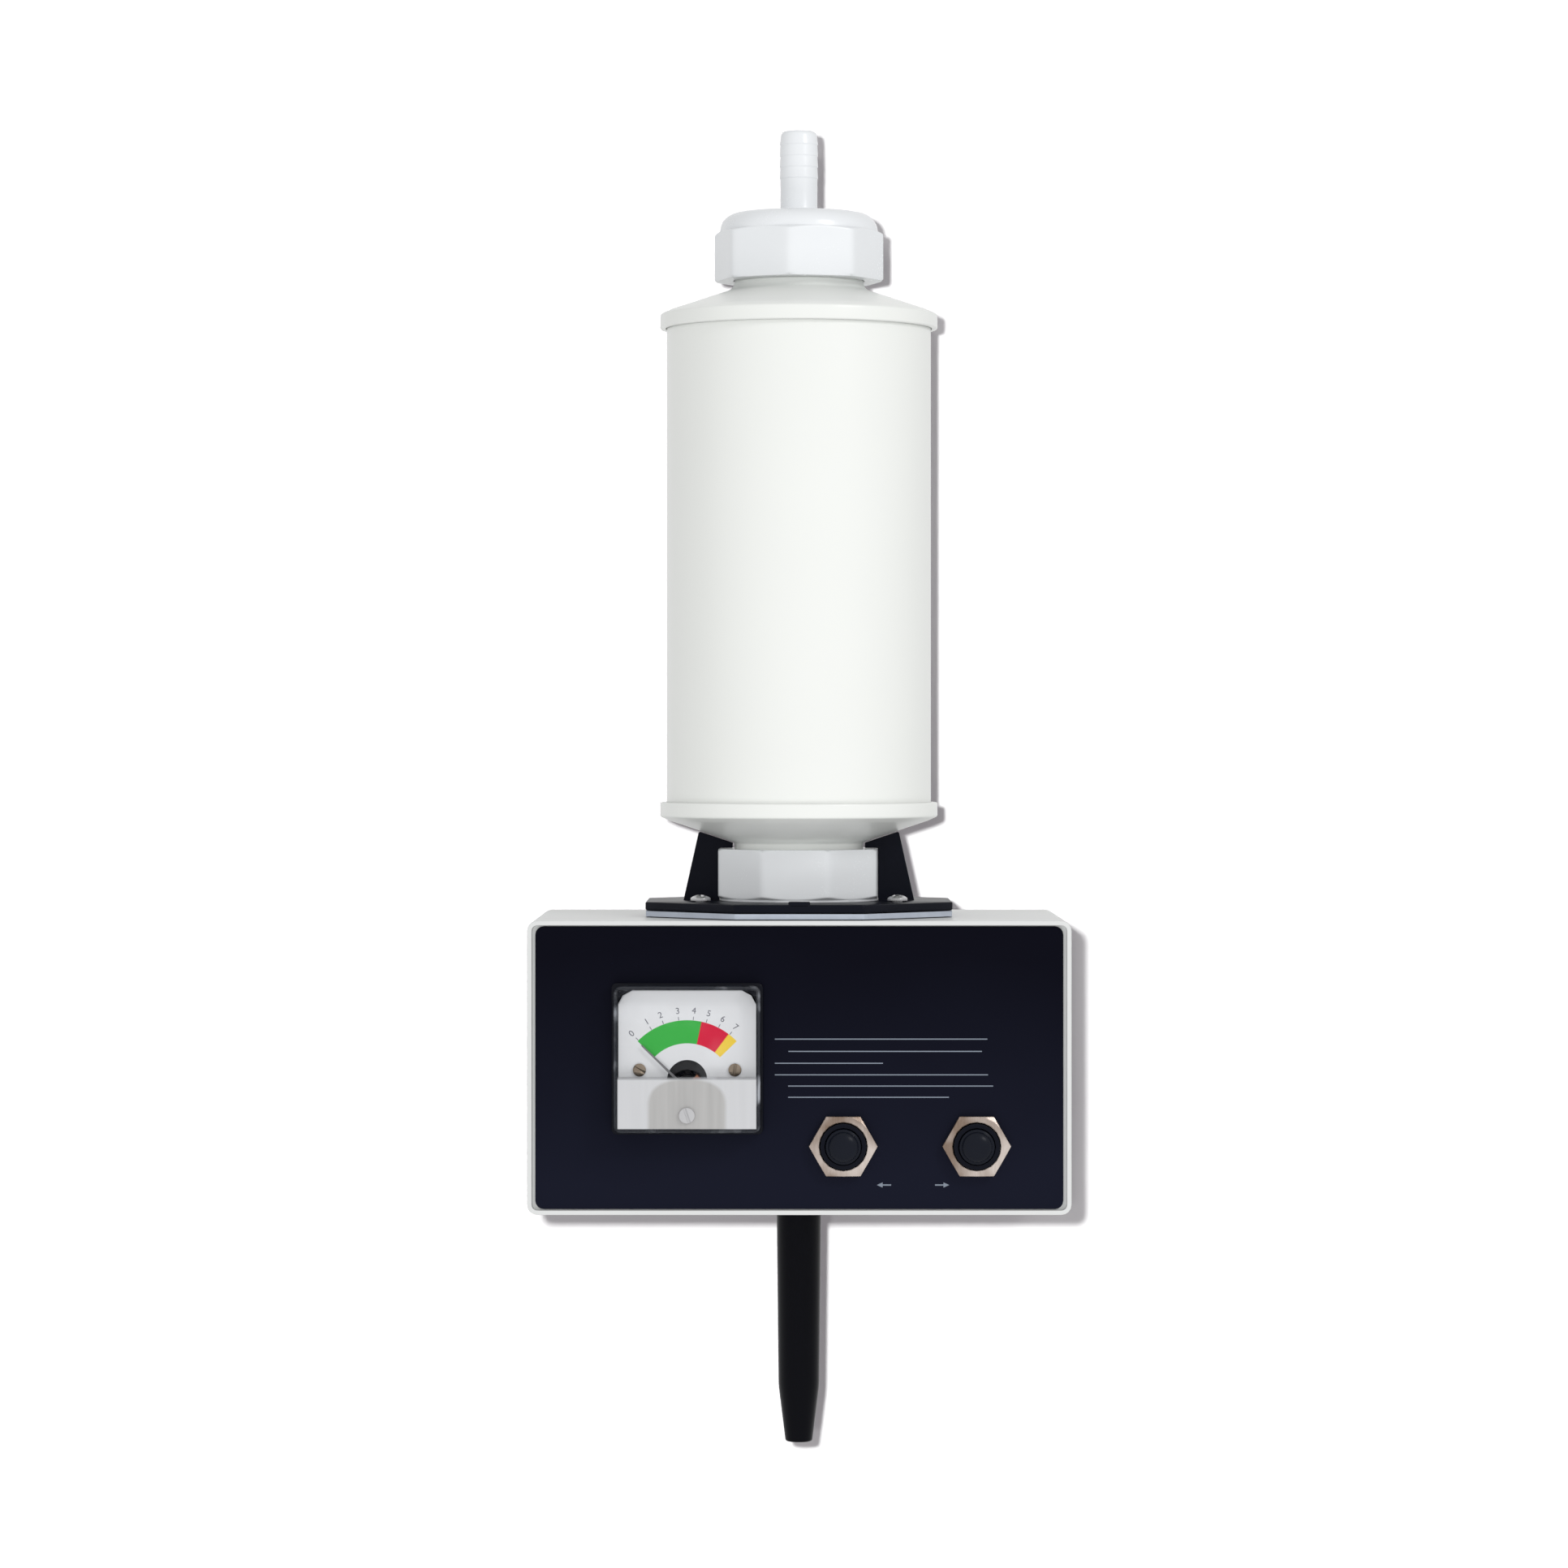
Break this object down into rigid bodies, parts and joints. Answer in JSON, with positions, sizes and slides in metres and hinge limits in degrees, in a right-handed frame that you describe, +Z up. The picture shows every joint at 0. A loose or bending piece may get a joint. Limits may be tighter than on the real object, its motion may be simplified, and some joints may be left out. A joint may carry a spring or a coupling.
{
  "type": "bench water deioniser",
  "caption": "White resin cartridge screwed upright into a wall-hung meter case with push buttons, a colour-banded dial, a hose-barb inlet cap and a black outlet spout.",
  "frame": {"origin": "centre of the back plate's wall face", "axes": "+Z up along the cartridge, front panel faces -Y, +X to the right of someone who reads the meter; the wall face's outward normal is +Y"},
  "size_m": [0.16, 0.1048, 0.3969],
  "materials": {
    "painted_case": "satin off-white paint, roughness about 0.4",
    "printed_panel": "satin blue-black film with pale grey print, roughness about 0.45",
    "plated_steel": "bright zinc plate, roughness about 0.35",
    "white_plastic": "soft-gloss white moulding, roughness about 0.3",
    "cap_plastic": "soft-gloss white moulding, slightly cooler than the tube",
    "black_plastic": "satin black moulding, roughness about 0.4",
    "black_button": "polished black moulding, roughness about 0.2",
    "clear_plastic": "clear polished moulding, its lower part frosted",
    "dial_print": "matt white scale plate with printed colour bands",
    "brass": "bright turned brass, roughness about 0.3",
    "copper_wire": "enamelled copper winding, roughness about 0.35",
    "nickel": "nickel plate, slightly warm, roughness about 0.3",
    "rubber_seal": "dark grey rubber, roughness about 0.8",
    "magnet_grey": "sintered magnet and soft iron, roughness about 0.5",
    "green_board": "green laminate",
    "battery_shell": "plain printed steel jacket, no marking",
    "resin_beads": "packed amber ion-exchange beads"
  },
  "bodies": {
    "case": {"back_plate": "plated_steel", "back_screw_1": "plated_steel", "back_screw_2": "plated_steel", "back_screw_3": "plated_steel", "back_screw_4": "plated_steel", "battery": "battery_shell", "battery_clip": "plated_steel", "battery_snap": "black_plastic", "button_body_left": "black_plastic", "button_body_right": "black_plastic", "button_nut_left": "nickel", "button_nut_right": "nickel", "button_spring_left": "plated_steel", "button_spring_right": "plated_steel", "button_washer_left": "plated_steel", "button_washer_right": "plated_steel", "case_shell": "painted_case", "circuit_board": "green_board", "dial_screw_left": "brass", "dial_screw_right": "brass", "electrode_left": "plated_steel", "electrode_right": "plated_steel", "flow_cell": "white_plastic", "front_panel": "printed_panel", "holder": "black_plastic", "holder_gasket": "rubber_seal", "holder_screw_1": "plated_steel", "holder_screw_2": "plated_steel", "holder_screw_3": "plated_steel", "holder_screw_4": "plated_steel", "meter_case": "black_plastic", "meter_core": "magnet_grey", "meter_cover": "clear_plastic", "meter_dial": "dial_print", "meter_magnet": "magnet_grey", "meter_stud_left": "brass", "meter_stud_right": "brass", "meter_yoke": "magnet_grey", "socket_cap": "cap_plastic", "spout": "black_plastic", "spout_nut": "black_plastic", "stud_nut_left": "brass", "stud_nut_right": "brass"},
    "socket_seal_ring": {"socket_seal": "rubber_seal"},
    "cartridge": {"cartridge_tube": "white_plastic", "cartridge_top_end": "white_plastic", "cartridge_bottom_end": "white_plastic", "cartridge_top_strainer": "rubber_seal", "cartridge_bottom_strainer": "rubber_seal", "resin_bed": "resin_beads"},
    "inlet_seal_ring": {"inlet_seal": "rubber_seal"},
    "inlet_cap": {"inlet_cap": "cap_plastic"},
    "left_button": {"button_cap_left": "black_button"},
    "right_button": {"button_cap_right": "black_button"},
    "movement": {"meter_coil": "copper_wire", "meter_needle": "black_plastic"},
    "zero_adjuster": {"zero_adjuster": "black_plastic"}
  },
  "joints": [
    {"name": "cartridge_lift", "type": "slide", "parent": "case", "child": "socket_seal_ring", "axis": [0, 0, 1], "range_m": [0, 0.016]},
    {"name": "cartridge_turn", "type": "hinge", "parent": "socket_seal_ring", "child": "cartridge", "pos_m": [0, -0.048, 0.15], "axis": [0, 0, 1], "range_deg": [0, 1440]},
    {"name": "inlet_cap_lift", "type": "slide", "parent": "cartridge", "child": "inlet_seal_ring", "axis": [0, 0, 1], "range_m": [0, 0.016]},
    {"name": "inlet_cap_turn", "type": "hinge", "parent": "inlet_seal_ring", "child": "inlet_cap", "pos_m": [0, -0.048, 0.245], "axis": [0, 0, 1], "range_deg": [0, 1440]},
    {"name": "left_button_press", "type": "slide", "parent": "case", "child": "left_button", "axis": [0, 1, 0], "range_m": [0, 0.0025], "stiffness_N_per_m": 500, "springref_m": -0.002, "deforming": ["button_spring_left"]},
    {"name": "right_button_press", "type": "slide", "parent": "case", "child": "right_button", "axis": [0, 1, 0], "range_m": [0, 0.0025], "stiffness_N_per_m": 500, "springref_m": -0.002, "deforming": ["button_spring_right"]},
    {"name": "needle_swing", "type": "hinge", "parent": "case", "child": "movement", "pos_m": [-0.0329, -0.0985, -0.006], "axis": [0, 1, 0], "range_deg": [0, 92], "stiffness_Nm_per_rad": 0.00002},
    {"name": "zero_adjuster_turn", "type": "hinge", "parent": "case", "child": "zero_adjuster", "pos_m": [-0.0329, -0.1035, -0.0134], "axis": [0, 1, 0], "range_deg": [-30, 30]}
  ],
  "couplings": [
    {"joint": "cartridge_turn", "follows": "cartridge_lift", "rad_per_m": 1570.8},
    {"joint": "inlet_cap_turn", "follows": "inlet_cap_lift", "rad_per_m": 1570.8}
  ]
}
